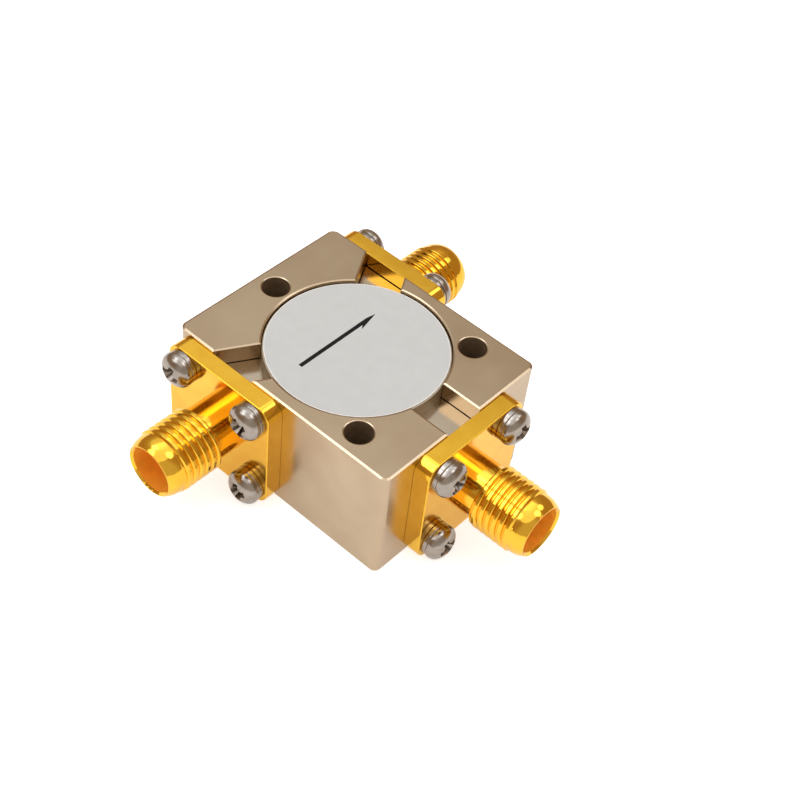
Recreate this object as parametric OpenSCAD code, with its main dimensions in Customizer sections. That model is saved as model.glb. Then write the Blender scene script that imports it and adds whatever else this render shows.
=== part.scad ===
// Three-port coaxial circulator: a plated block with a round junction cavity and three flanged sockets.
// The origin is on the mounting face, below the axis of the cavity. +X points out of the front port.

/* [Housing] */
// Diameter of the round recess that takes the cover
cover_bore_d = 17.4; // [15:0.1:19]
// Wall between the recess and the two side faces
side_wall = 1.3; // [0.8:0.05:3]
// Wall between the recess and each mounting hole
hole_wall = 0.45; // [0.3:0.05:1]
// Diameter of the three mounting holes
hole_d = 2.7; // [2:0.1:3.2]
// Metal between the rear mounting hole and the rear face
end_wall = 0.85; // [0.5:0.05:3]
// Angle of the two forward mounting holes from the front port axis
hole_angle = 46; // [40:1:52]
// Thickness of the floor below the cavity
floor_t = 3.35; // [2.5:0.05:6]
// Width of the ledge that carries the shield plate
ledge_w = 1.3; // [0.8:0.1:2]
// Width of the three open slots
slot_w = 4.3; // [3.6:0.1:5]
// Shelf on each side of a slot, under the ears of the shield plate
shelf_w = 0.55; // [0.3:0.05:0.9]
// Rounding of the upright edges
edge_round = 0.7; // [0.3:0.1:1.5]
// Bevel along the top and bottom edges
edge_bevel = 0.2; // [0.1:0.05:0.4]
// Bevel round the recess
rim_bevel = 0.12; // [0.06:0.01:0.15]
// Bevel along the slots
slot_bevel = 0.1; // [0.05:0.01:0.2]
// Bevel at both ends of the mounting holes
hole_bevel = 0.1; // [0.05:0.01:0.12]

/* [Cover and label] */
// Thickness of the three-eared shield plate
plate_t = 1.5; // [0.8:0.05:2]
// Thickness of the round cover
cover_t = 1.5; // [0.6:0.05:2]
// Bevel round the top of the cover
cover_bevel = 0.1; // [0.05:0.01:0.3]
// Thickness of the label
label_t = 0.1; // [0.05:0.01:0.2]
// Rim of the cover that the label leaves bare
label_margin = 0.1; // [0.05:0.05:1]
// Depth of the label below the top face
label_recess = 0.25; // [0.2:0.05:1.5]
// Gap round the cover
cover_gap = 0.15; // [0.1:0.05:0.5]
// Gap round the shield plate and along its ears
plate_gap = 0.08; // [0.04:0.01:0.2]
// Gap between an ear and the port face
ear_end_gap = 0.1; // [0.05:0.05:0.5]

/* [Junction stack] */
// Thickness of each magnet
magnet_t = 1; // [0.6:0.05:2]
// Thickness of each pole plate
pole_t = 0.6; // [0.3:0.05:1.2]
// Thickness of each ferrite disc
ferrite_t = 1.2; // [0.8:0.05:2]
// Thickness of the centre conductor
conductor_t = 0.4; // [0.2:0.05:0.6]
// Gap between the pole plates and the cavity wall
pole_gap = 0.2; // [0.1:0.05:0.5]
// Gap between the ferrite discs and the cavity wall
ferrite_gap = 0.9; // [0.3:0.1:1.5]
// Gap between the magnets and the cavity wall
magnet_gap = 0.7; // [0.3:0.1:1.5]
// Diameter of the round middle of the conductor
junction_d = 7.2; // [5:0.1:9]
// Width of the conductor arms
arm_w = 1.6; // [1.2:0.1:2.2]
// Width of the tuning stubs between the arms
stub_w = 1.8; // [1:0.1:2.6]
// Length of a tuning stub past the round middle
stub_l = 1.6; // [0.6:0.1:2]
// Width of the tabs that lie on the contacts
tab_w = 1; // [0.7:0.05:1.2]

/* [Port connectors] */
// Width of the square flange
flange_w = 12.7; // [12:0.1:13.4]
// Height of the flange's lower edge above the mounting face
flange_lift = 0.25; // [0.1:0.05:0.6]
// Thickness of the flange
flange_t = 1.75; // [1.2:0.05:3]
// Rounding of the flange's corners
flange_round = 1.4; // [0.6:0.05:2]
// Bevel along the flange's outer face
flange_bevel = 0.1; // [0.05:0.01:0.2]
// Diameter of the plain neck behind the thread
neck_d = 5.4; // [5:0.05:6]
// Length of the plain neck
neck_l = 2.35; // [1.5:0.05:4]
// Outside diameter of the thread
thread_d = 6.35; // [6.2:0.01:6.5]
// Length of the thread
thread_l = 4.3; // [3:0.1:8]
// Bevel at both ends of the thread
thread_bevel = 0.2; // [0.1:0.05:0.4]
// Length of the tapered nose in front of the thread
nose_l = 1.5; // [0.8:0.1:3]
// Diameter of the nose where it leaves the thread
nose_root_d = 6; // [5.7:0.05:6.1]
// Diameter of the nose halfway to the mouth
nose_mid_d = 5.82; // [5.5:0.02:6]
// Diameter of the nose at the mouth
nose_tip_d = 5.24; // [5.1:0.02:5.6]
// Diameter of the socket
socket_d = 4.6; // [4.4:0.02:4.8]
// Depth of the socket
socket_depth = 3.2; // [1.9:0.1:4.5]
// Countersink at the mouth of the socket
mouth_bevel = 0.2; // [0.1:0.02:0.22]
// Diameter of the insulator
insulator_d = 4.1; // [3.8:0.05:4.3]
// Diameter of the centre contact
contact_d = 1.27; // [1.2:0.01:1.6]
// Diameter of the hole in the contact
contact_hole_d = 0.94; // [0.9:0.01:1]
// Depth of the hole in the contact
contact_hole_depth = 2.6; // [1.5:0.1:4]
// Length of the contact behind the flange
contact_tail = 1.3; // [0.9:0.05:2]
// Round length left on the tail before its flat
tail_shoulder = 0.15; // [0.1:0.05:0.4]
// Gap between a conductor tab and the end of the flat
tab_gap = 0.1; // [0.05:0.05:0.3]
// Gap round the insulator and the contact
press_gap = 0.02; // [0.01:0.01:0.05]

/* [Fasteners] */
// Distance between flange screws, both ways
screw_pitch = 8.7; // [8.2:0.05:9.2]
// Diameter of the screw shank
screw_d = 1.6; // [1.4:0.05:2]
// Diameter of the screw head
head_d = 3.5; // [2.8:0.05:3.5]
// Height of the screw head
head_h = 1.4; // [0.9:0.05:1.6]
// Radius of the domed top of the head
head_dome = 2.4; // [1.8:0.05:4]
// Metal left between a screw hole and the recess
tip_wall = 0.2; // [0.15:0.05:0.4]
// Room below the tip of a screw
tip_gap = 0.05; // [0.02:0.01:0.1]
// Radial room round a screw in its tapped hole
thread_gap = 0.03; // [0.02:0.01:0.06]
// Radial room round a screw in the flange and the washer
pass_gap = 0.1; // [0.05:0.05:0.2]
// Outside diameter of the lock washer
washer_d = 3.4; // [2.7:0.05:3.5]
// Thickness of the lock washer
washer_t = 0.5; // [0.3:0.05:0.8]
// Width of the split in the lock washer
washer_split = 0.3; // [0.15:0.05:0.5]
// Slant of the split
split_slant = 25; // [10:1:40]

/* [Hidden] */
$fn = 96;

// Reach added to a cut so that it passes its face
over = 0.5;
// Angle between neighbouring ports, seen from the cavity
port_step = 120;

// Heights of the stack above the mounting face
half_stack = conductor_t / 2 + ferrite_t + pole_t + magnet_t;
axis_z = floor_t + half_stack;
ledge_z = axis_z + half_stack;
plate_top = ledge_z + plate_t;
cover_top = plate_top + cover_t;
label_top = cover_top + label_t;
block_h = label_top + label_recess;

// Radii of the cavity and of what lies in it
cover_bore_r = cover_bore_d / 2;
stack_bore_r = cover_bore_r - ledge_w;
cover_r = cover_bore_r - cover_gap;
plate_r = cover_bore_r - plate_gap;
ear_w = slot_w - 2 * plate_gap;
channel_w = slot_w - 2 * shelf_w;

// Plan of the block
hole_r = hole_d / 2;
hole_circle_r = cover_bore_r + hole_wall + hole_r;
block_l = 2 * (hole_circle_r + hole_r + end_wall);
block_w = 2 * (cover_bore_r + side_wall);

// Where the side slots leave the block
side_port_x = -block_w / 2 * tan(port_step - 90);
front_port = [block_l / 2, 0, 0];
left_port = [side_port_x, -block_w / 2, -90];
right_port = [side_port_x, block_w / 2, 90];
ports = [front_port, left_port, right_port];

// Distance from the axis of the cavity to a port's face
function face_distance(port) = port[0] * cos(port[2]) + port[1] * sin(port[2]);

// Steps of a connector, measured out from the port face
neck_end = flange_t + neck_l;
thread_end = neck_end + thread_l;
mouth = thread_end + nose_l;
socket_floor = mouth - socket_depth;
flange_h = 2 * (axis_z - flange_lift);
insulator_r = insulator_d / 2;
contact_r = contact_d / 2;

// Screws and the holes they pass
screw_r = screw_d / 2;
pass_r = screw_r + pass_gap;
tap_r = screw_r + thread_gap;
tap_depth = side_wall - tip_wall;
shank_l = washer_t + flange_t + tap_depth - tip_gap;

nickel = "#b9a68a";
plate_nickel = "#b7ab98";
cover_nickel = "#a99c86";
label_grey = "#c9c7c2";
gold = "#e0a830";
contact_gold = "#d3962c";
white_plastic = "#f0ede6";
steel = "#8f8b86";
washer_steel = "#837e78";
ferrite_black = "#38342f";
magnet_grey = "#4c4946";
pole_steel = "#9b968e";
copper = "#c8854a";

// Moves a shape made on the +X axis out to a port, with its face on the block's face
module at_port(port) {
    translate([port[0], port[1], axis_z]) rotate(port[2]) children();
}

// Turns a plan drawn across the port into a slab that grows outwards
module outwards(length) {
    rotate([90, 0, 90]) linear_extrude(length) children();
}

// Turns a half section, drawn as radius and distance, about the port axis
module turned() {
    rotate([0, 90, 0]) rotate_extrude() children();
}

// Puts a shape at each of the four screw places of a flange
module at_screws() {
    for (v = [-1, 1], w = [-1, 1]) {
        translate([0, v * screw_pitch / 2, w * screw_pitch / 2]) children();
    }
}

// A rectangle about the middle with its corners cut
module cut_corner_plan(width, height, corner) {
    x = width / 2;
    y = height / 2;
    polygon([
        [-x + corner, -y], [x - corner, -y], [x, -y + corner], [x, y - corner],
        [x - corner, y], [-x + corner, y], [-x, y - corner], [-x, -y + corner]
    ]);
}

// A rectangle about the middle with its corners rounded
module rounded_plan(length, width, radius) {
    square([length - 2 * radius, width], center = true);
    square([length, width - 2 * radius], center = true);
    for (x = [-1, 1], y = [-1, 1]) {
        translate([x * (length / 2 - radius), y * (width / 2 - radius)]) circle(radius);
    }
}

// The block before it is hollowed: one plan and two bevelled elevations
module block() {
    intersection() {
        linear_extrude(block_h) rounded_plan(block_l, block_w, edge_round);
        translate([-block_l / 2, 0, block_h / 2]) {
            outwards(block_l) cut_corner_plan(block_w, block_h, edge_bevel);
        }
        translate([0, -block_w / 2, block_h / 2]) rotate(90) {
            outwards(block_w) cut_corner_plan(block_l, block_h, edge_bevel);
        }
    }
}

// A round hollow with three arms that run out through the port faces
module junction_plan(radius, width) {
    circle(radius);
    for (k = [0:2]) rotate(k * port_step) translate([0, -width / 2]) square([block_l, width]);
}

// Deep bore with its channels, below the wider recess with its slots
module cavity_cut() {
    translate([0, 0, floor_t]) linear_extrude(block_h) junction_plan(stack_bore_r, channel_w);
    translate([0, 0, ledge_z]) linear_extrude(block_h) junction_plan(cover_bore_r, slot_w);
}

// Cone that breaks the rim of the recess, from the ledge upwards
module rim_bevel_cut() {
    ledge_to_bevel = block_h - rim_bevel - ledge_z;
    rotate_extrude() polygon([
        [0, ledge_z], [cover_bore_r - ledge_to_bevel, ledge_z],
        [cover_bore_r + rim_bevel + over, block_h + over], [0, block_h + over]
    ]);
}

// Wedge that breaks both upper edges of a slot
module slot_bevel_cut() {
    half_width = slot_w / 2 + slot_bevel;
    outwards(block_l) polygon([
        [0, block_h - half_width], [half_width + over, block_h + over], [-half_width - over, block_h + over]
    ]);
}

module mounting_hole_cut() {
    rotate_extrude() polygon([
        [0, -over], [hole_r + hole_bevel + over, -over], [hole_r, hole_bevel],
        [hole_r, block_h - hole_bevel], [hole_r + hole_bevel + over, block_h + over], [0, block_h + over]
    ]);
}

module housing() {
    color(nickel) difference() {
        block();
        cavity_cut();
        rim_bevel_cut();
        for (k = [0:2]) rotate(k * port_step) slot_bevel_cut();
        for (a = [180, hole_angle, -hole_angle]) {
            rotate(a) translate([hole_circle_r, 0, 0]) mounting_hole_cut();
        }
        for (port = ports) at_port(port) at_screws() {
            translate([-tap_depth, 0, 0]) rotate([0, 90, 0]) cylinder(r = tap_r, h = tap_depth + over);
        }
    }
}

// A disc of the junction stack, standing off the cavity wall
module stack_disc(bottom, thickness, wall_gap) {
    translate([0, 0, bottom]) cylinder(r = stack_bore_r - wall_gap, h = thickness);
}

module lower_magnet() {
    color(magnet_grey) stack_disc(floor_t, magnet_t, magnet_gap);
}

module lower_pole_plate() {
    color(pole_steel) stack_disc(floor_t + magnet_t, pole_t, pole_gap);
}

module lower_ferrite() {
    color(ferrite_black) stack_disc(axis_z - conductor_t / 2 - ferrite_t, ferrite_t, ferrite_gap);
}

module upper_ferrite() {
    color(ferrite_black) stack_disc(axis_z + conductor_t / 2, ferrite_t, ferrite_gap);
}

module upper_pole_plate() {
    color(pole_steel) stack_disc(ledge_z - magnet_t - pole_t, pole_t, pole_gap);
}

module upper_magnet() {
    color(magnet_grey) stack_disc(ledge_z - magnet_t, magnet_t, magnet_gap);
}

// Strip from the middle of the junction to the tail of a contact
module conductor_arm(port) {
    reach = norm([port[0], port[1]]) * (1 - contact_tail / 2 / face_distance(port));
    tab_l = contact_tail - tail_shoulder - tab_gap;
    rotate(atan2(port[1], port[0])) translate([0, -arm_w / 2]) square([reach, arm_w]);
    translate([port[0], port[1]]) rotate(port[2]) {
        translate([-contact_tail, -tab_w / 2]) square([tab_l, tab_w]);
    }
}

module centre_conductor() {
    color(copper) translate([0, 0, axis_z - conductor_t / 2]) linear_extrude(conductor_t) {
        circle(d = junction_d);
        for (port = ports) conductor_arm(port);
        for (k = [0:2]) rotate(port_step * (k + 0.5)) {
            translate([0, -stub_w / 2]) square([junction_d / 2 + stub_l, stub_w]);
        }
    }
}

// Round plate with three ears that close the slots over the conductor
module shield_plate() {
    color(plate_nickel) translate([0, 0, ledge_z]) linear_extrude(plate_t) intersection() {
        junction_plan(plate_r, ear_w);
        square([block_l - 2 * ear_end_gap, block_w - 2 * ear_end_gap], center = true);
    }
}

module round_cover() {
    color(cover_nickel) rotate_extrude() polygon([
        [0, plate_top], [cover_r, plate_top], [cover_r, cover_top - cover_bevel],
        [cover_r - cover_bevel, cover_top], [0, cover_top]
    ]);
}

module label() {
    color(label_grey) translate([0, 0, cover_top]) cylinder(r = cover_r - label_margin, h = label_t);
}

// Side view of a plate whose outer face has bevelled edges
module bevelled_side(height) {
    polygon([
        [0, -height / 2], [flange_t - flange_bevel, -height / 2], [flange_t, -height / 2 + flange_bevel],
        [flange_t, height / 2 - flange_bevel], [flange_t - flange_bevel, height / 2], [0, height / 2]
    ]);
}

// Square flange with rounded corners and a bevelled outer face
module flange() {
    intersection() {
        outwards(flange_t) rounded_plan(flange_w, flange_h, flange_round);
        rotate([90, 0, 0]) linear_extrude(flange_w, center = true) bevelled_side(flange_h);
        linear_extrude(flange_h, center = true) bevelled_side(flange_w);
    }
}

// Half section of the barrel, neck to mouth
module barrel_section() {
    polygon([
        [0, 0], [neck_d / 2, 0], [neck_d / 2, neck_end], [thread_d / 2 - thread_bevel, neck_end],
        [thread_d / 2, neck_end + thread_bevel], [thread_d / 2, thread_end - thread_bevel],
        [nose_root_d / 2, thread_end], [nose_mid_d / 2, thread_end + nose_l / 2],
        [nose_tip_d / 2, mouth], [0, mouth]
    ]);
}

// Half section of the stepped hole through a connector
module connector_hole_section() {
    polygon([
        [0, -over], [insulator_r + press_gap, -over], [insulator_r + press_gap, socket_floor],
        [socket_d / 2, socket_floor], [socket_d / 2, mouth - mouth_bevel],
        [socket_d / 2 + mouth_bevel, mouth], [socket_d / 2 + mouth_bevel, mouth + over], [0, mouth + over]
    ]);
}

module connector_body() {
    difference() {
        union() {
            flange();
            turned() barrel_section();
        }
        turned() connector_hole_section();
        at_screws() translate([-over, 0, 0]) rotate([0, 90, 0]) {
            cylinder(r = pass_r, h = flange_t + 2 * over);
        }
    }
}

module insulator() {
    turned() difference() {
        square([insulator_r, socket_floor]);
        square([contact_r + press_gap, socket_floor]);
    }
}

// Hollow contact whose tail has a flat for the conductor tab
module contact() {
    difference() {
        turned() translate([0, -contact_tail]) square([contact_r, contact_tail + socket_floor]);
        translate([socket_floor - contact_hole_depth, 0, 0]) rotate([0, 90, 0]) {
            cylinder(d = contact_hole_d, h = contact_hole_depth + over);
        }
        translate([-contact_tail - over, -contact_d, -conductor_t / 2]) {
            cube([contact_tail - tail_shoulder + over, 2 * contact_d, contact_d]);
        }
    }
}

// Pan head on a plain shank, seated on its washer
module screws() {
    at_screws() translate([flange_t + washer_t, 0, 0]) turned() {
        intersection() {
            square([head_d / 2, head_h]);
            translate([0, head_h - head_dome]) circle(head_dome);
        }
        translate([0, -shank_l]) square([screw_r, shank_l + head_h / 2]);
    }
}

module lock_washers() {
    at_screws() translate([flange_t, 0, 0]) difference() {
        turned() translate([pass_r, 0]) square([washer_d / 2 - pass_r, washer_t]);
        translate([washer_t / 2, 0, -washer_d / 2]) rotate([0, 0, split_slant]) {
            cube([washer_d, washer_split, washer_d], center = true);
        }
    }
}

module front_connector_body() {
    color(gold) at_port(front_port) connector_body();
}

module front_insulator() {
    color(white_plastic) at_port(front_port) insulator();
}

module front_contact() {
    color(contact_gold) at_port(front_port) contact();
}

module front_screws() {
    color(steel) at_port(front_port) screws();
}

module front_lock_washers() {
    color(washer_steel) at_port(front_port) lock_washers();
}

module left_connector_body() {
    color(gold) at_port(left_port) connector_body();
}

module left_insulator() {
    color(white_plastic) at_port(left_port) insulator();
}

module left_contact() {
    color(contact_gold) at_port(left_port) contact();
}

module left_screws() {
    color(steel) at_port(left_port) screws();
}

module left_lock_washers() {
    color(washer_steel) at_port(left_port) lock_washers();
}

module right_connector_body() {
    color(gold) at_port(right_port) connector_body();
}

module right_insulator() {
    color(white_plastic) at_port(right_port) insulator();
}

module right_contact() {
    color(contact_gold) at_port(right_port) contact();
}

module right_screws() {
    color(steel) at_port(right_port) screws();
}

module right_lock_washers() {
    color(washer_steel) at_port(right_port) lock_washers();
}

housing();
lower_magnet();
lower_pole_plate();
lower_ferrite();
centre_conductor();
upper_ferrite();
upper_pole_plate();
upper_magnet();
shield_plate();
round_cover();
label();
front_connector_body();
front_insulator();
front_contact();
front_screws();
front_lock_washers();
left_connector_body();
left_insulator();
left_contact();
left_screws();
left_lock_washers();
right_connector_body();
right_insulator();
right_contact();
right_screws();
right_lock_washers();
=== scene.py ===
import math

import bpy
from mathutils import Matrix, Vector


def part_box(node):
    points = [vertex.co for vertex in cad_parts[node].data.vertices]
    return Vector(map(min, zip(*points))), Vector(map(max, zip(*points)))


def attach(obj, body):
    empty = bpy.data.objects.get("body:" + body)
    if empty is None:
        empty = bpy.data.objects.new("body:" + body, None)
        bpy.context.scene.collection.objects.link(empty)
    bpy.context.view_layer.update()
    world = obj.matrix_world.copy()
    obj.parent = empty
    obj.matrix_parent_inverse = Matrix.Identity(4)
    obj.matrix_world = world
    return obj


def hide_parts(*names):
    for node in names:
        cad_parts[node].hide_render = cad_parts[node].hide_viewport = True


# Three-port coaxial circulator: satin nickel block, gold sockets, steel screws, grey label.
# Pieces are modelled in millimetres, the sockets round the axis of a port, then set in the frame in metres.

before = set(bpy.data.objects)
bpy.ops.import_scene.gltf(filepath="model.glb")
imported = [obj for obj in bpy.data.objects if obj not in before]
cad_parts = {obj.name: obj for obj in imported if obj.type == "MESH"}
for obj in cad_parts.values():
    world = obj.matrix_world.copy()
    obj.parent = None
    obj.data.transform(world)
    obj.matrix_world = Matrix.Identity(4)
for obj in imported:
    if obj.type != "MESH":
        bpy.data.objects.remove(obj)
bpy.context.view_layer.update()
mm = 0.001
print("frame:", len(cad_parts), "nodes")


# Places taken from the frame

blockLow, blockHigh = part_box("housing")
blockSize = (blockHigh - blockLow) / mm
labelLow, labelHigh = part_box("label")
bodyLow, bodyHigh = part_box("front_connector_body")
bodySize = (bodyHigh - bodyLow) / mm  # length out of the block, width, height
ports = {}
for portName, turn in (("front", 0), ("left", -90), ("right", 90)):
    low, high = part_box(portName + "_connector_body")
    middle = (low + high) / 2
    faces = {"front": (blockHigh.x, middle.y), "left": (middle.x, blockLow.y),
             "right": (middle.x, blockHigh.y)}
    ports[portName] = {"place": Vector((*faces[portName], middle.z)), "turn": math.radians(turn)}
screwPitch = 8.7  # from screw to screw on a flange, in millimetres


# Small helpers

upright = (0, math.radians(-90), 0)  # stands what was spun about X along Z
touching = 0.001  # millimetres, when edges are picked by their place
wallSlack = 0.01  # millimetres, when the faces of a round wall are picked
weld = 0.0001  # millimetres, when doubled points are merged


def linear(hexColour):  # sRGB hex to the linear values that shaders take
    values = [int(hexColour[i:i + 2], 16) / 255 for i in (1, 3, 5)]
    return (*[v / 12.92 if v <= 0.04045 else ((v + 0.055) / 1.055) ** 2.4 for v in values], 1)


def perSize(sizeInMm):  # texture scale for marks of this size
    return 1 / (sizeInMm * mm)


def addNode(tree, kind, settings=None, inputs=None):
    node = tree.nodes.new(kind)
    for name, value in (settings or {}).items():
        setattr(node, name, value)
    for name, value in (inputs or {}).items():
        if isinstance(value, bpy.types.NodeSocket):
            tree.links.new(value, node.inputs[name])
        else:
            node.inputs[name].default_value = value
    return node


def newMaterial(name):
    material = bpy.data.materials.new(name)
    material.use_nodes = True
    material.node_tree.nodes.clear()
    return material, material.node_tree


def clearSelection():
    if bpy.context.mode != "OBJECT":
        bpy.ops.object.mode_set(mode="OBJECT")
    bpy.ops.object.select_all(action="DESELECT")


def makeActive(piece):
    clearSelection()
    piece.select_set(True)
    bpy.context.view_layer.objects.active = piece


def applyPlace(piece):
    makeActive(piece)
    bpy.ops.object.transform_apply(location=True, rotation=True, scale=True)


def pick(piece, kind, test):  # select in edit mode whatever passes the test
    bpy.ops.mesh.select_mode(type=kind)
    bpy.ops.mesh.select_all(action="DESELECT")
    bpy.ops.object.mode_set(mode="OBJECT")
    mesh = piece.data
    for item in {"VERT": mesh.vertices, "EDGE": mesh.edges, "FACE": mesh.polygons}[kind]:
        item.select = test(item)
    bpy.ops.object.mode_set(mode="EDIT")


def edgeEnds(piece, edge):
    return [piece.data.vertices[i].co for i in edge.vertices]


def addBox(name, size, place):
    clearSelection()
    bpy.ops.mesh.primitive_cube_add(size=1, location=place)
    piece = bpy.context.object
    piece.name = name
    piece.scale = size
    applyPlace(piece)
    return piece


def drawLine(name, points):  # leaves the line selected in edit mode
    clearSelection()
    bpy.ops.mesh.primitive_plane_add(size=1)
    piece = bpy.context.object
    piece.name = name
    bpy.ops.object.mode_set(mode="EDIT")
    bpy.ops.mesh.select_mode(type="VERT")
    bpy.ops.mesh.merge(type="CENTER")
    bpy.ops.transform.translate(value=points[0])
    for here, there in zip(points, points[1:]):
        step = tuple(b - a for a, b in zip(here, there))
        bpy.ops.mesh.extrude_region_move(TRANSFORM_OT_translate={"value": step})
    bpy.ops.mesh.select_all(action="SELECT")
    return piece


def turnOutline(name, outline, steps):  # outline is (along the axis, radius), spun about X
    piece = drawLine(name, [(along, 0, radius) for along, radius in outline])
    bpy.ops.mesh.spin(steps=steps, angle=2 * math.pi, center=(0, 0, 0), axis=(1, 0, 0))
    bpy.ops.mesh.select_all(action="SELECT")
    bpy.ops.mesh.remove_doubles(threshold=weld)
    bpy.ops.mesh.normals_make_consistent(inside=False)
    bpy.ops.object.mode_set(mode="OBJECT")
    return piece


def pushOutline(name, outline, length):  # outline is (across, height), pushed out along X
    piece = drawLine(name, [(0, across, height) for across, height in outline])
    bpy.ops.mesh.edge_face_add()
    bpy.ops.mesh.extrude_region_move(TRANSFORM_OT_translate={"value": (length, 0, 0)})
    bpy.ops.mesh.select_all(action="SELECT")
    bpy.ops.mesh.normals_make_consistent(inside=False)
    bpy.ops.object.mode_set(mode="OBJECT")
    return piece


def arc(centre, radius, start, end, steps):  # points of a round stretch of an outline, angles in degrees
    angles = [math.radians(start + (end - start) * i / steps) for i in range(steps + 1)]
    return [(centre[0] + radius * math.cos(a), centre[1] + radius * math.sin(a)) for a in angles]


def fourCorners():  # (across, height) of the four screws of a flange
    half = screwPitch / 2
    return [(y * half, z * half) for z in (-1, 1) for y in (-1, 1)]


def combine(piece, tool, operation):  # the tool is used up
    makeActive(piece)
    boolean = piece.modifiers.new("combine", "BOOLEAN")
    boolean.object = tool
    boolean.operation = operation
    boolean.solver = "EXACT"
    bpy.ops.object.modifier_apply(modifier=boolean.name)
    bpy.data.objects.remove(tool)


def smoothEdges(piece, angle):  # round faces smooth, flat faces kept flat by their area
    makeActive(piece)
    bpy.ops.object.shade_smooth_by_angle(angle=math.radians(angle))
    weighted = piece.modifiers.new("weighted", "WEIGHTED_NORMAL")
    weighted.keep_sharp = True
    bpy.ops.object.modifier_apply(modifier=weighted.name)


def copyOf(piece, name):
    makeActive(piece)
    bpy.ops.object.duplicate(linked=False)
    copy = bpy.context.object
    copy.name = name
    return copy


def standUp(piece):  # from millimetres along X to metres along Z in the frame
    piece.rotation_euler = upright
    piece.scale = (mm, mm, mm)
    applyPlace(piece)


def seatAtPort(piece, port):  # from millimetres round the port axis to metres in the frame
    piece.location = port["place"]
    piece.rotation_euler = (0, 0, port["turn"])
    piece.scale = (mm, mm, mm)
    applyPlace(piece)


def finishPiece(piece, materials, slot, *nodes):
    piece.data.materials.clear()
    for material in materials:
        piece.data.materials.append(material)
    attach(piece, "root")
    if nodes:
        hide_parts(*nodes)


def dress(material, *nodes):  # a node of the frame keeps its shape and gets this finish
    for node in nodes:
        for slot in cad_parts[node].material_slots:
            slot.material = material


# Materials

# Metal skin: broad patches shift the colour a little, fine grain blurs the mirror and breaks it up.
# Grain sizes are drawn coarser than life, at 0.2 mm and up, so that they show in the render.
grainHigh = 0.02  # millimetres


def metal(name, pale, dark, patch, rough, spread, grain, relief):
    material, tree = newMaterial(name)
    place = addNode(tree, "ShaderNodeTexCoord").outputs["Object"]
    patches = addNode(tree, "ShaderNodeTexNoise", None,
                      {"Vector": place, "Scale": perSize(patch), "Detail": 3})
    tint = addNode(tree, "ShaderNodeValToRGB", None, {"Fac": patches.outputs["Fac"]})
    for stop, position, colour in zip(tint.color_ramp.elements, (0.35, 0.65), (dark, pale)):
        stop.position = position
        stop.color = linear(colour)
    speckle = addNode(tree, "ShaderNodeTexNoise", None,
                      {"Vector": place, "Scale": perSize(grain), "Detail": 2})
    blur = addNode(tree, "ShaderNodeMapRange", None,
                   {"Value": speckle.outputs["Fac"], "To Min": rough - spread, "To Max": rough + spread})
    bump = addNode(tree, "ShaderNodeBump", None,
                   {"Height": speckle.outputs["Fac"], "Strength": relief, "Distance": grainHigh * mm})
    shader = addNode(tree, "ShaderNodeBsdfPrincipled", None,
                     {"Base Color": tint.outputs["Color"], "Metallic": 1,
                      "Roughness": blur.outputs["Result"], "Normal": bump.outputs["Normal"]})
    addNode(tree, "ShaderNodeOutputMaterial", None, {"Surface": shader.outputs["BSDF"]})
    return material


# Non-metals: printed film, ink, moulded or sintered parts, each with its own grain.
def solid(name, pale, dark, rough, shine, grain, relief):
    material, tree = newMaterial(name)
    place = addNode(tree, "ShaderNodeTexCoord").outputs["Object"]
    speckle = addNode(tree, "ShaderNodeTexNoise", None,
                      {"Vector": place, "Scale": perSize(grain), "Detail": 4})
    tint = addNode(tree, "ShaderNodeValToRGB", None, {"Fac": speckle.outputs["Fac"]})
    for stop, position, colour in zip(tint.color_ramp.elements, (0.3, 0.7), (dark, pale)):
        stop.position = position
        stop.color = linear(colour)
    bump = addNode(tree, "ShaderNodeBump", None,
                   {"Height": speckle.outputs["Fac"], "Strength": relief, "Distance": grainHigh * mm})
    shader = addNode(tree, "ShaderNodeBsdfPrincipled", None,
                     {"Base Color": tint.outputs["Color"], "Roughness": rough, "Specular IOR Level": shine,
                      "Normal": bump.outputs["Normal"]})
    addNode(tree, "ShaderNodeOutputMaterial", None, {"Surface": shader.outputs["BSDF"]})
    return material


# satin nickel: warm beige, softly blurred reflections
blockNickel = metal("satinNickelBlock", "#C0AA8D", "#B8A184", 5, 0.22, 0.03, 0.2, 0.06)
# drilled walls scatter the light, so the holes read dark brown and not black
drilledNickel = metal("drilledNickel", "#B8A184", "#A89276", 0.6, 0.6, 0.05, 0.25, 0.2)
# the plate was rolled, so it mirrors the walls of the slots more clearly
plateNickel = metal("satinNickelPlate", "#C6B69F", "#BEAE96", 5, 0.18, 0.03, 0.3, 0.03)
# the cover was turned, so it is duller than the block
coverNickel = metal("satinNickelCover", "#BDB09A", "#B0A28C", 4, 0.5, 0.04, 0.2, 0.06)
# bright gold: deep yellow mirror, a little wavy from polishing
socketGold = metal("brightGoldPlate", "#F5C041", "#EFB739", 1.6, 0.13, 0.03, 1.6, 0.12)
# the bored wall keeps its tool marks and reads as dull orange gold; its gold is painted paler than the outer
# plate, painted light that brightens the shaded inside of the socket
boredGoldPaintedLight = metal("boredGoldPlatePaintedLight", "#FDC850", "#F8C048", 1, 0.85, 0.05, 0.25, 0.1)
contactGold = metal("contactGoldPlate", "#E8AE3A", "#DDA030", 1, 0.18, 0.03, 0.4, 0.05)
# stainless steel, headed and tumbled: warm grey with soft highlights
screwSteel = metal("tumbledStainlessScrew", "#A99F94", "#9B9187", 0.6, 0.22, 0.04, 0.4, 0.05)
washerSteel = metal("tumbledStainlessWasher", "#A99F94", "#9B9187", 0.6, 0.22, 0.04, 0.4, 0.05)
poleSteel = metal("groundPoleSteel", "#A8A39B", "#98938B", 2, 0.35, 0.06, 0.3, 0.1)
stripCopper = metal("platedCopperStrip", "#D0935C", "#C07F48", 2, 0.3, 0.05, 0.3, 0.1)
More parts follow.
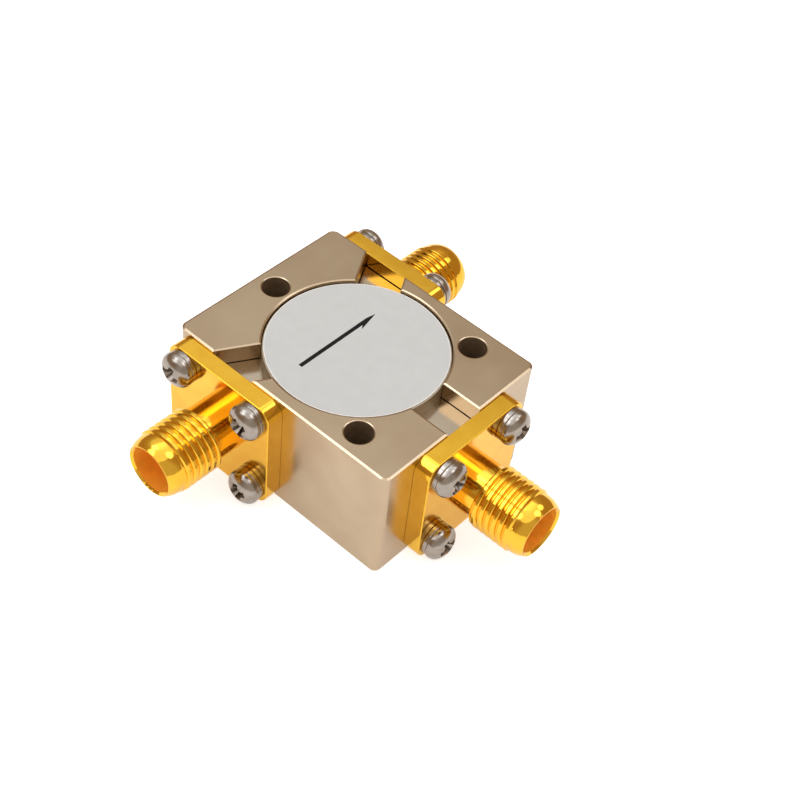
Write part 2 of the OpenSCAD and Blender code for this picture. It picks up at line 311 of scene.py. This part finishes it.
# matt film, nearly even grey
labelFilm = solid("mattPolyesterFilm", "#CACAC6", "#C6C6C2", 0.55, 0.3, 1.2, 0.03)
# the film's outer rim is painted near white, a painted highlight that draws a bright line round the label
filmRimPaintedHighlight = solid("paintedHighlightFilmRim", "#F0EDE6", "#E8E5DE", 0.5, 0.3, 0.4, 0.03)
arrowInk = solid("blackPrintingInk", "#141312", "#0F0E0D", 0.6, 0.2, 0.3, 0.03)
# waxy white plastic
whitePlastic = solid("whiteFluoroplastic", "#F2EFE8", "#E8E4DB", 0.4, 0.5, 0.5, 0.08)
# sintered dark grey and ground near-black of the parts inside
magnetCeramic = solid("sinteredMagnet", "#55514D", "#454240", 0.6, 0.5, 0.3, 0.2)
ferriteCeramic = solid("groundFerrite", "#3C3833", "#322E2A", 0.4, 0.5, 0.2, 0.1)
print("materials:", len(bpy.data.materials))


# Nickel block: milled from solid, its upper edges broken at a shallow angle so that they catch the light

block = {
    "uprightRound": 0.7, "uprightSteps": 6, "footRound": 0.2, "footSteps": 5,
    "deburr": 0.2, "deburrSlope": 0.4,
    "recessR": 8.7, "ledge": 9.35, "rimDeburr": 0.15, "boreR": 7.4, "floor": 3.35,
    "slotWide": 4.3, "slotDeburr": 0.17, "channelWide": 3.2, "slotTurns": (0, 120, 240),
    "holeR": 1.35, "holeDeburr": 0.1, "holeCircle": 10.5, "holeTurns": (180, 46, -46),
    "tapR": 0.83, "tapDeep": 1.1, "steps": 160, "holeSteps": 64, "tapSteps": 32, "smoothAngle": 20,
    "past": 0.4,  # cutters reach this far past a face
    "lift": 0.003,  # keeps the floor of one cutter off the floor of the next
}


def flare(wall, wide):  # a cutter's upper end, (height, reach), opening along the deburred slope
    slope, top = block["deburrSlope"], blockSize.z
    return [(top - wide * slope, wall), (top + block["past"], wall + wide + block["past"] / slope)]


def cutRecess(body):
    past = block["past"]
    recess = turnOutline("recess", [
        (block["ledge"], 0), (block["ledge"], block["recessR"]),
        *flare(block["recessR"], block["rimDeburr"]), (blockSize.z + past, 0)], block["steps"])
    bore = turnOutline("bore", [
        (block["floor"], 0), (block["floor"], block["boreR"]), (block["ledge"] + past, block["boreR"]),
        (block["ledge"] + past, 0)], block["steps"])
    for tool in (recess, bore):
        tool.rotation_euler = upright
        combine(body, tool, "DIFFERENCE")


def cutSlots(body):
    half = block["slotWide"] / 2
    right = [(half, block["ledge"] - block["lift"]), *[(y, z) for z, y in flare(half, block["slotDeburr"])]]
    slot = pushOutline("slot", right + [(-y, z) for y, z in reversed(right)], blockSize.x)
    high = block["ledge"] - block["floor"] + block["past"] / 2
    channel = addBox("channel", (blockSize.x, block["channelWide"], high),
                     (blockSize.x / 2, 0, block["floor"] + block["lift"] + high / 2))
    for turn in block["slotTurns"]:
        for tool in (slot, channel):
            cutter = copyOf(tool, "cutter")
            cutter.rotation_euler = (0, 0, math.radians(turn))
            combine(body, cutter, "DIFFERENCE")
    bpy.data.objects.remove(slot)
    bpy.data.objects.remove(channel)


def cutHoles(body):
    upper = flare(block["holeR"], block["holeDeburr"])
    lower = [(blockSize.z - height, reach) for height, reach in reversed(upper)]
    drill = turnOutline("drill", [(lower[0][0], 0), *lower, *upper, (upper[-1][0], 0)], block["holeSteps"])
    for turn in block["holeTurns"]:
        cutter = copyOf(drill, "cutter")
        angle = math.radians(turn)
        cutter.location = (block["holeCircle"] * math.cos(angle), block["holeCircle"] * math.sin(angle), 0)
        cutter.rotation_euler = upright
        combine(body, cutter, "DIFFERENCE")
    bpy.data.objects.remove(drill)
    tap = turnOutline("tap", [
        (-block["tapDeep"], 0), (-block["tapDeep"], block["tapR"]), (block["past"], block["tapR"]),
        (block["past"], 0)], block["tapSteps"])
    for port in ports.values():
        for y, z in fourCorners():
            cutter = copyOf(tap, "cutter")
            aside = Matrix.Rotation(port["turn"], 3, "Z") @ Vector((0, y, z))
            cutter.location = port["place"] / mm + aside
            cutter.rotation_euler = (0, 0, port["turn"])
            combine(body, cutter, "DIFFERENCE")
    bpy.data.objects.remove(tap)


def makeBlock():
    wide, drop = block["deburr"], block["deburr"] * block["deburrSlope"]
    high = blockSize.z - drop
    body = addBox("nickel_block", (blockSize.x, blockSize.y, high), (0, 0, high / 2))
    bpy.ops.object.mode_set(mode="EDIT")
    pick(body, "EDGE", lambda e: abs(edgeEnds(body, e)[0].z - edgeEnds(body, e)[1].z) > high / 2)
    bpy.ops.mesh.bevel(offset=block["uprightRound"], segments=block["uprightSteps"], affect="EDGES")
    pick(body, "EDGE", lambda e: all(v.z < touching for v in edgeEnds(body, e)))
    bpy.ops.mesh.bevel(offset=block["footRound"], segments=block["footSteps"], affect="EDGES")
    pick(body, "FACE", lambda f: f.normal.z > 0.9)
    bpy.ops.mesh.inset(thickness=wide)
    bpy.ops.transform.translate(value=(0, 0, drop))
    bpy.ops.object.mode_set(mode="OBJECT")
    cutRecess(body)
    cutSlots(body)
    cutHoles(body)
    smoothEdges(body, block["smoothAngle"])
    body.scale = (mm, mm, mm)
    applyPlace(body)
    return body


def drilled(face):  # walls of the mounting holes
    for turn in block["holeTurns"]:
        angle = math.radians(turn)
        middle = mm * block["holeCircle"] * Vector((math.cos(angle), math.sin(angle)))
        inHole = (face.center.xy - middle).length < mm * (block["holeR"] + wallSlack)
        if inHole and abs(face.normal.z) < 0.5:
            return True
    return False


nickelBlock = makeBlock()
finishPiece(nickelBlock, [blockNickel, drilledNickel], "nickel_housing", "housing")
for face in nickelBlock.data.polygons:
    face.material_index = int(drilled(face))
print("block:", len(nickelBlock.data.polygons), "faces")


# Gold socket: flange, neck, thread, nose and bore in one body

socket = {
    "flangeThick": 1.75, "cornerRound": 1.4, "cornerSteps": 8, "frontEdge": 0.1, "frontSteps": 3,
    "backEdge": 0.06, "backSteps": 2, "neckR": 2.7, "neckEnd": 4.1,
    "rodInside": 0.1,  # the core runs on inside the thread, this much thinner
    "crestR": 3.175, "threadEnd": 8.4, "threadBevel": 0.2,
    "pitch": 25.4 / 36, "flankAngle": 35, "crestShare": 0.45, "rootShare": 0.1, "crestRound": 0.05,
    "threadSteps": 72, "spareTurns": 2,
    "noseR": 3.0, "mouthR": 2.62, "noseFall": 2.6, "noseSteps": 8, "noseSeat": 0.07,
    "lipRound": 0.06, "lipStart": 75, "lipSteps": 5, "lipDrop": 0.005,
    "socketR": 2.3, "socketDepth": 3.2, "mouthBevel": 0.2, "insulatorR": 2.07,
    "screwHoleR": 0.9, "steps": 128, "drillSteps": 32, "smoothAngle": 35,
    "past": 1,  # cutters reach this far past a face
}


def makeFlange():
    thick = socket["flangeThick"]
    flange = addBox("flange", (thick, bodySize.y, bodySize.z), (thick / 2, 0, 0))
    bpy.ops.object.mode_set(mode="EDIT")
    pick(flange, "EDGE", lambda e: abs(edgeEnds(flange, e)[0].x - edgeEnds(flange, e)[1].x) > thick / 2)
    bpy.ops.mesh.bevel(offset=socket["cornerRound"], segments=socket["cornerSteps"], affect="EDGES")
    pick(flange, "EDGE", lambda e: all(v.x > thick - touching for v in edgeEnds(flange, e)))
    bpy.ops.mesh.bevel(offset=socket["frontEdge"], segments=socket["frontSteps"], affect="EDGES")
    pick(flange, "EDGE", lambda e: all(v.x < touching for v in edgeEnds(flange, e)))
    bpy.ops.mesh.bevel(offset=socket["backEdge"], segments=socket["backSteps"], affect="EDGES")
    bpy.ops.object.mode_set(mode="OBJECT")
    return flange


def makeThread():
    pitch, crestR = socket["pitch"], socket["crestR"]
    crest, root = pitch * socket["crestShare"], pitch * socket["rootShare"]
    flank = (pitch - crest - root) / 2
    slope = 1 / math.tan(math.radians(socket["flankAngle"]))
    rootR = crestR - flank * slope
    soft = socket["crestRound"]
    start = socket["neckEnd"] - socket["spareTurns"] * pitch
    turns = math.ceil((socket["threadEnd"] - start) / pitch) + socket["spareTurns"]
    rise = [(root / 2, rootR), (root / 2 + flank - soft / 2, crestR - soft / 2 * slope),
            (root / 2 + flank + soft / 2, crestR)]
    fall = [(pitch - along, radius) for along, radius in reversed(rise)]
    outline = [(0, rootR), *rise, *fall, (pitch, rootR)]
    rod = drawLine("thread", [(start + along, 0, radius) for along, radius in outline])
    bpy.ops.object.mode_set(mode="OBJECT")
    screwing = rod.modifiers.new("screwing", "SCREW")
    screwing.axis = "X"
    screwing.screw_offset = pitch
    screwing.iterations = turns
    screwing.steps = socket["threadSteps"]
    screwing.render_steps = socket["threadSteps"]
    screwing.use_merge_vertices = True
    screwing.merge_threshold = 5 * weld
    bpy.ops.object.modifier_apply(modifier=screwing.name)
    bpy.ops.object.mode_set(mode="EDIT")
    spare = pitch / 3  # the rod is cut a little outside the thread's ends, and the blank trims it
    for cut, keepOut in ((socket["neckEnd"] - spare, True), (socket["threadEnd"] + spare, False)):
        bpy.ops.mesh.select_all(action="SELECT")
        bpy.ops.mesh.bisect(plane_co=(cut, 0, 0), plane_no=(1, 0, 0), use_fill=True,
                            clear_inner=keepOut, clear_outer=not keepOut, threshold=weld)
    bpy.ops.mesh.select_all(action="SELECT")
    bpy.ops.mesh.remove_doubles(threshold=weld)
    bpy.ops.mesh.normals_make_consistent(inside=False)
    bpy.ops.object.mode_set(mode="OBJECT")
    bevel, hidden = socket["threadBevel"], socket["noseSeat"]
    blank = turnOutline("threadBlank", [
        (socket["neckEnd"], 0), (socket["neckEnd"], crestR - bevel), (socket["neckEnd"] + bevel, crestR),
        (socket["threadEnd"] - bevel, crestR), (socket["threadEnd"] + hidden, crestR - bevel - hidden),
        (socket["threadEnd"] + hidden, 0)], socket["steps"])
    combine(rod, blank, "INTERSECT")
    return rod


def makeSocket():
    mouth, past, lip, steps = bodySize.x, socket["past"], socket["lipRound"], socket["noseSteps"]
    neckR, neckEnd, inside = socket["neckR"], socket["neckEnd"], socket["rodInside"]
    noseStart = socket["threadEnd"] - socket["noseSeat"]
    noseDrop = socket["noseR"] - socket["mouthR"]
    shares = [i / steps for i in range(steps + 1)]  # the nose falls away more and more towards the mouth
    nose = [(noseStart + (mouth - lip - noseStart) * s, socket["noseR"] - noseDrop * s ** socket["noseFall"])
            for s in shares]
    lipCentre = (mouth - lip, socket["mouthR"] - lip - socket["lipDrop"])
    core = turnOutline("core", [
        (socket["flangeThick"] / 2, 0), (socket["flangeThick"] / 2, neckR),
        (neckEnd + inside, neckR), (neckEnd + 2 * inside, neckR - inside), (noseStart, neckR - inside), *nose,
        *arc(lipCentre, lip, socket["lipStart"], 0, socket["lipSteps"]), (mouth, 0)], socket["steps"])
    body = makeFlange()
    combine(body, core, "UNION")
    combine(body, makeThread(), "UNION")
    socketR, holeR, bevel = socket["socketR"], socket["screwHoleR"], socket["mouthBevel"]
    insulatorR, through = socket["insulatorR"], socket["flangeThick"] + past
    socketFloor = mouth - socket["socketDepth"]
    bore = turnOutline("bore", [
        (-past, 0), (-past, insulatorR), (socketFloor, insulatorR), (socketFloor, socketR),
        (mouth - bevel, socketR), (mouth, socketR + bevel),
        (mouth + past, socketR + bevel), (mouth + past, 0)], socket["steps"])
    combine(body, bore, "DIFFERENCE")
    drill = turnOutline("drill", [
        (-past, 0), (-past, holeR), (through, holeR), (through, 0)], socket["drillSteps"])
    for y, z in fourCorners():
        hole = copyOf(drill, "hole")
        hole.location = (0, y, z)
        combine(body, hole, "DIFFERENCE")
    bpy.data.objects.remove(drill)
    smoothEdges(body, socket["smoothAngle"])
    # the bored wall takes the second material, whose paler gold is painted light inside the socket
    for face in body.data.polygons:  # the bored wall is the second material
        face.material_index = int(math.hypot(face.center.y, face.center.z) < socketR + wallSlack)
    return body


socketBody = makeSocket()
for portName, port in ports.items():
    piece = copyOf(socketBody, portName + "_socket_body")
    wall = [face.material_index for face in piece.data.polygons]
    seatAtPort(piece, port)
    finishPiece(piece, [socketGold, boredGoldPaintedLight], "gold_body", portName + "_connector_body")
    piece.data.polygons.foreach_set("material_index", wall)
bpy.data.objects.remove(socketBody)
print("sockets:", len(ports))


# Pan-head screws with a cross recess, each on a split lock washer

washer = {
    "outerR": 1.7, "innerR": 0.9, "thick": 0.5, "edgeRound": 0.08, "edgeSteps": 3,
    "split": 0.3, "slant": 25, "steps": 64, "smoothAngle": 40,
}
screw = {
    "headR": 1.75, "headHigh": 1.4, "sideHigh": 0.3, "footRound": 0.1, "footSteps": 4, "domeSteps": 14,
    "shankR": 0.8, "shankLong": 3.3, "tipBevel": 0.2,
    "bladeLong": 2.2, "bladeWide": 0.7, "bladeDeep": 1.0, "bladeTaper": 0.4,
    "pitR": 0.75, "pitFloorR": 0.2, "pitDeep": 0.95, "pitSteps": 24,
    "past": 0.1,  # cutters start this far above the dome
    "edgeRound": 0.03, "edgeSteps": 2, "edgeAngle": 50, "steps": 64, "smoothAngle": 40,
    "turns": {"front": (20, 65, 40, 5), "left": (50, 15, 75, 30), "right": (35, 80, 10, 60)},
}


def makeScrew():
    headR, high, foot, past = screw["headR"], screw["headHigh"], screw["footRound"], screw["past"]
    shankR, shankEnd, tip = screw["shankR"], -screw["shankLong"], screw["tipBevel"]
    dome = [(screw["sideHigh"] + (high - screw["sideHigh"]) * along, headR * radius)  # round as half an egg
            for along, radius in arc((0, 0), 1, 90, 0, screw["domeSteps"])]
    head = turnOutline("screw", [
        (shankEnd, 0), (shankEnd, shankR - tip), (tip + shankEnd, shankR), (0, shankR),
        *arc((foot, headR - foot), foot, 180, 90, screw["footSteps"]), *dome], screw["steps"])
    blade = addBox("blade", (screw["bladeDeep"] + past, screw["bladeLong"], screw["bladeWide"]),
                   (high + (past - screw["bladeDeep"]) / 2, 0, 0))
    bpy.ops.object.mode_set(mode="EDIT")
    pick(blade, "FACE", lambda f: f.normal.x < -0.5)
    bpy.ops.transform.resize(value=(1, screw["bladeTaper"], screw["bladeTaper"]))
    bpy.ops.object.mode_set(mode="OBJECT")
    for turn in (0, 90):
        cutter = copyOf(blade, "cutter")
        cutter.rotation_euler = (math.radians(turn), 0, 0)
        combine(head, cutter, "DIFFERENCE")
    bpy.data.objects.remove(blade)
    pit = turnOutline("pit", [(high - screw["pitDeep"], 0), (high - screw["pitDeep"], screw["pitFloorR"]),
                              (high + past, screw["pitR"]), (high + past, 0)], screw["pitSteps"])
    combine(head, pit, "DIFFERENCE")
    makeActive(head)
    edge = head.modifiers.new("edge", "BEVEL")
    edge.width = screw["edgeRound"]
    edge.segments = screw["edgeSteps"]
    edge.limit_method = "ANGLE"
    edge.angle_limit = math.radians(screw["edgeAngle"])
    bpy.ops.object.modifier_apply(modifier=edge.name)
    smoothEdges(head, screw["smoothAngle"])
    return head


def atFourCorners(single, name, seat, turns):  # four copies of a fastener on a flange, as one piece
    copies = []
    for i, (y, z) in enumerate(fourCorners()):
        copy = copyOf(single, name + str(i))
        copy.location = (seat, y, z)
        copy.rotation_euler = (math.radians(turns[i]), 0, 0)
        applyPlace(copy)
        copies.append(copy)
    clearSelection()
    for copy in copies:
        copy.select_set(True)
    bpy.context.view_layer.objects.active = copies[0]
    bpy.ops.object.join()
    copies[0].name = name
    return copies[0]


oneScrew = makeScrew()
screwSeat = socket["flangeThick"] + washer["thick"]
for portName, port in ports.items():
    piece = atFourCorners(oneScrew, portName + "_pan_screws", screwSeat, screw["turns"][portName])
    seatAtPort(piece, port)
    finishPiece(piece, [screwSteel], "screw_steel", portName + "_screws")
bpy.data.objects.remove(oneScrew)
print("screws:", 4 * len(ports))


def makeWasher():
    outer, inner, thick, edge = washer["outerR"], washer["innerR"], washer["thick"], washer["edgeRound"]
    corners = (((edge, inner + edge), 180), ((thick - edge, inner + edge), 270),
               ((thick - edge, outer - edge), 0), ((edge, outer - edge), 90))
    outline = [point for centre, start in corners
               for point in arc(centre, edge, start, start + 90, washer["edgeSteps"])]
    ring = turnOutline("washer", [*outline, (0, inner + edge)], washer["steps"])
    saw = addBox("saw", (3 * thick, washer["split"], outer), (0, 0, -outer))  # long enough to cut at a slant
    saw.location = (thick / 2, 0, 0)
    saw.rotation_euler = (0, 0, math.radians(washer["slant"]))
    combine(ring, saw, "DIFFERENCE")
    smoothEdges(ring, washer["smoothAngle"])
    return ring


oneWasher = makeWasher()
for portName, port in ports.items():
    piece = atFourCorners(oneWasher, portName + "_split_washers", socket["flangeThick"], (0, 0, 0, 0))
    seatAtPort(piece, port)
    finishPiece(piece, [washerSteel], "washer_steel", portName + "_lock_washers")
bpy.data.objects.remove(oneWasher)
print("washers:", 4 * len(ports))


# Round cover, a close fit in the recess, and the film stuck on it

lid = {
    "coverR": 8.65, "coverLow": 10.86, "coverEdge": 0.08, "filmR": 8.5, "filmRimPaintedHighlight": 0.09, "filmRound": 0.03,
    "roundSteps": 4, "steps": 160, "smoothAngle": 35,
}


def makeCover():
    high, edge, radius = labelLow.z / mm, lid["coverEdge"], lid["coverR"]
    cover = turnOutline("cover_disc", [
        (lid["coverLow"], 0), (lid["coverLow"], radius),
        *arc((high - edge, radius - edge), edge, 90, 0, lid["roundSteps"]), (high, 0)], lid["steps"])
    smoothEdges(cover, lid["smoothAngle"])
    standUp(cover)
    return cover


def makeFilm():
    low, high, edge, radius = labelLow.z / mm, labelHigh.z / mm, lid["filmRound"], lid["filmR"]
    film = turnOutline("label_film_disc", [
        (low, 0), (low, radius), *arc((high - edge, radius - edge), edge, 90, 0, lid["roundSteps"]),
        (high, radius - lid["filmRimPaintedHighlight"]), (high, 0)], lid["steps"])
    smoothEdges(film, lid["smoothAngle"])
    standUp(film)
    return film


coverDisc = makeCover()
finishPiece(coverDisc, [coverNickel], "nickel_cover", "round_cover")
labelFilmDisc = makeFilm()
finishPiece(labelFilmDisc, [labelFilm, filmRimPaintedHighlight], "label_film", "label")
# the film's outer rim takes the near-white painted highlight
for face in labelFilmDisc.data.polygons:
    face.material_index = int(face.center.xy.length > mm * (lid["filmR"] - lid["filmRimPaintedHighlight"]))
print("cover and label on")


# Direction arrow printed on the label, from the left port towards the right one

arrow = {
    "x": -1.88, "tail": -5.44, "tip": 4.39, "line": 0.4, "barb": (0.52, 2.02), "notch": 2.45, "shoulder": 3.4,
    "ink": 0.012,
}


def makeArrow():
    half = arrow["line"] / 2
    outline = [(-half, arrow["tail"]), (half, arrow["tail"]), (half, arrow["notch"]), arrow["barb"],
               (0, arrow["tip"]), (-half, arrow["shoulder"])]
    ink = pushOutline("label_arrow", [(y, -x) for x, y in outline], arrow["ink"])
    ink.location = (mm * arrow["x"], 0, labelHigh.z)
    standUp(ink)
    return ink


labelArrow = makeArrow()
finishPiece(labelArrow, [arrowInk], "label_film")
print("arrow:", arrow["tip"] - arrow["tail"], "mm long")


# Finishes of the nodes that keep their CAD shape

dress(plateNickel, "shield_plate")
dress(magnetCeramic, "lower_magnet", "upper_magnet")
dress(poleSteel, "lower_pole_plate", "upper_pole_plate")
dress(ferriteCeramic, "lower_ferrite", "upper_ferrite")
dress(stripCopper, "centre_conductor")
for portName in ports:
    dress(whitePlastic, portName + "_insulator")
    dress(contactGold, portName + "_contact")
print("nodes dressed")


# Studio: pale floor, dim warm room that is bright above and behind the block and paler in front of it,
# one wide soft panel overhead and four small ones

studio = {
    "floorSize": 6, "floorDrop": 0.00002, "floorColour": "#E6E6E6",
    "floorLift": 0.7, "mirrorLift": 0.46,  # towards white where it is seen, less where it is mirrored
    "behind": "#FFFFFF", "roomTowards": (-0.45, 0.22, 0.865),
    "room": ((0.0, "#B0947A"), (0.85, "#B0947A"), (0.925, "#C0AC94"), (0.955, "#D3CFC9"),
             (0.968, "#F4F4F4"), (1.0, "#FBFBFB")),
    "frontTowards": (0.8, -0.6, 0), "frontFade": (0.4, 0.7), "frontColour": "#D2C8BC",
    "panelAway": 0.45,
    "panelTint": "#E4F1FF",  # cool, so that the grey label stays grey in the warm room
    "panels": {
        "overhead": {"towards": (0, -0.1, 1), "size": (0.56, 0.765), "glow": 1.0},
        "leftFront": {"towards": (-0.52, -0.75, 1), "size": (0.2, 0.24), "glow": 2.8},
        "left": {"towards": (-0.46, -0.16, 1), "size": (0.15, 0.17), "glow": 2.2},
        "back": {"towards": (0.27, 0.68, 1), "size": (0.17, 0.15), "glow": 2.2},
        "right": {"towards": (0.48, 0.2, 1), "size": (0.15, 0.2), "glow": 2.8},
    },
}


def makeFloor():
    clearSelection()
    bpy.ops.mesh.primitive_plane_add(size=studio["floorSize"], location=(0, 0, -studio["floorDrop"]))
    floor = bpy.context.object
    floor.name = "floor"
    material, tree = newMaterial("paleFloor")
    path = addNode(tree, "ShaderNodeLightPath").outputs
    mirrored = addNode(tree, "ShaderNodeMath", {"operation": "MULTIPLY"},
                       {0: path["Is Glossy Ray"], 1: studio["mirrorLift"]})
    lift = addNode(tree, "ShaderNodeMath", {"operation": "MULTIPLY_ADD"},
                   {0: path["Is Camera Ray"], 1: studio["floorLift"], 2: mirrored.outputs[0]})
    paint = addNode(tree, "ShaderNodeBsdfDiffuse", None, {"Color": linear(studio["floorColour"])})
    glow = addNode(tree, "ShaderNodeEmission", None, {"Strength": lift.outputs[0]})
    both = addNode(tree, "ShaderNodeAddShader", None, {0: paint.outputs[0], 1: glow.outputs[0]})
    addNode(tree, "ShaderNodeOutputMaterial", None, {"Surface": both.outputs[0]})
    floor.data.materials.append(material)


def makeRoom():
    world = bpy.data.worlds.new("studioRoom")
    world.use_nodes = True
    tree = world.node_tree
    tree.nodes.clear()
    place = addNode(tree, "ShaderNodeTexCoord").outputs["Generated"]
    facing = addNode(tree, "ShaderNodeVectorMath", {"operation": "DOT_PRODUCT"},
                     {0: place, 1: Vector(studio["roomTowards"]).normalized()})
    share = addNode(tree, "ShaderNodeMapRange", None, {"Value": facing.outputs["Value"], "From Min": -1})
    shade = addNode(tree, "ShaderNodeValToRGB", None, {"Fac": share.outputs["Result"]})
    stops = shade.color_ramp.elements
    while len(stops) < len(studio["room"]):
        stops.new(0.5)
    for stop, (position, colour) in zip(stops, studio["room"]):
        stop.position = position
        stop.color = linear(colour)
    around = addNode(tree, "ShaderNodeBackground", None, {"Color": shade.outputs["Color"]})
    ahead = addNode(tree, "ShaderNodeVectorMath", {"operation": "DOT_PRODUCT"},
                    {0: place, 1: Vector(studio["frontTowards"]).normalized()})
    fadeFrom, fadeTo = studio["frontFade"]
    frontShare = addNode(tree, "ShaderNodeMapRange", {"interpolation_type": "SMOOTHSTEP"},
                         {"Value": ahead.outputs["Value"], "From Min": fadeFrom, "From Max": fadeTo})
    front = addNode(tree, "ShaderNodeBackground", None, {"Color": linear(studio["frontColour"])})
    room = addNode(tree, "ShaderNodeMixShader", None,
                   {0: frontShare.outputs["Result"], 1: around.outputs[0], 2: front.outputs[0]})
    behind = addNode(tree, "ShaderNodeBackground", None, {"Color": linear(studio["behind"])})
    path = addNode(tree, "ShaderNodeLightPath").outputs  # the camera itself sees plain white past the floor
    both = addNode(tree, "ShaderNodeMixShader", None,
                   {0: path["Is Camera Ray"], 1: room.outputs[0], 2: behind.outputs[0]})
    addNode(tree, "ShaderNodeOutputWorld", None, {"Surface": both.outputs[0]})
    bpy.context.scene.world = world


def makePanels():
    for name, panel in studio["panels"].items():
        long, wide = panel["size"]
        lamp = bpy.data.lights.new(name, "AREA")
        lamp.shape = "ELLIPSE"
        lamp.size, lamp.size_y = long, wide
        lamp.energy = panel["glow"] * math.pi * (math.pi / 4 * long * wide)  # by the area of the ellipse
        lamp.color = linear(studio["panelTint"])[:3]
        holder = bpy.data.objects.new(name, lamp)
        bpy.context.scene.collection.objects.link(holder)
        towards = Vector(panel["towards"]).normalized()
        holder.location = towards * studio["panelAway"]
        holder.rotation_euler = towards.to_track_quat("Z", "Y").to_euler()
        holder.visible_camera = False


makeFloor()
makeRoom()
makePanels()
print("studio:", len(studio["panels"]), "panels")


# Camera at the photograph's angle, found from the block's edges

view = {
    "azimuth": 36.896, "elevation": 46.597, "roll": 7.344, "away": 134.136, "aside": 3.809, "lower": 4.915,
    "lens": 66.96, "sensor": 36, "clipStart": 0.01,
}


def makeCamera():
    azimuth, elevation, roll = (math.radians(view[k]) for k in ("azimuth", "elevation", "roll"))
    level = math.cos(elevation)
    back = Vector((math.sin(azimuth) * level, -math.cos(azimuth) * level, math.sin(elevation)))
    right = Vector((math.cos(azimuth), math.sin(azimuth), 0))
    up = back.cross(right)
    tiltedRight = math.cos(roll) * right + math.sin(roll) * up
    tiltedUp = -math.sin(roll) * right + math.cos(roll) * up
    lens = bpy.data.cameras.new("camera")
    lens.lens = view["lens"]
    lens.sensor_width = view["sensor"]
    lens.clip_start = view["clipStart"]
    holder = bpy.data.objects.new("camera", lens)
    bpy.context.scene.collection.objects.link(holder)
    topCentre = Vector((0, 0, blockHigh.z))
    place = topCentre + mm * (view["aside"] * tiltedRight - view["lower"] * tiltedUp + view["away"] * back)
    turned = Matrix((tiltedRight, tiltedUp, back)).transposed().to_4x4()
    holder.matrix_world = Matrix.Translation(place) @ turned
    bpy.context.scene.camera = holder


makeCamera()
bpy.context.scene.view_settings.view_transform = "Standard"
print("camera set")

clearSelection()
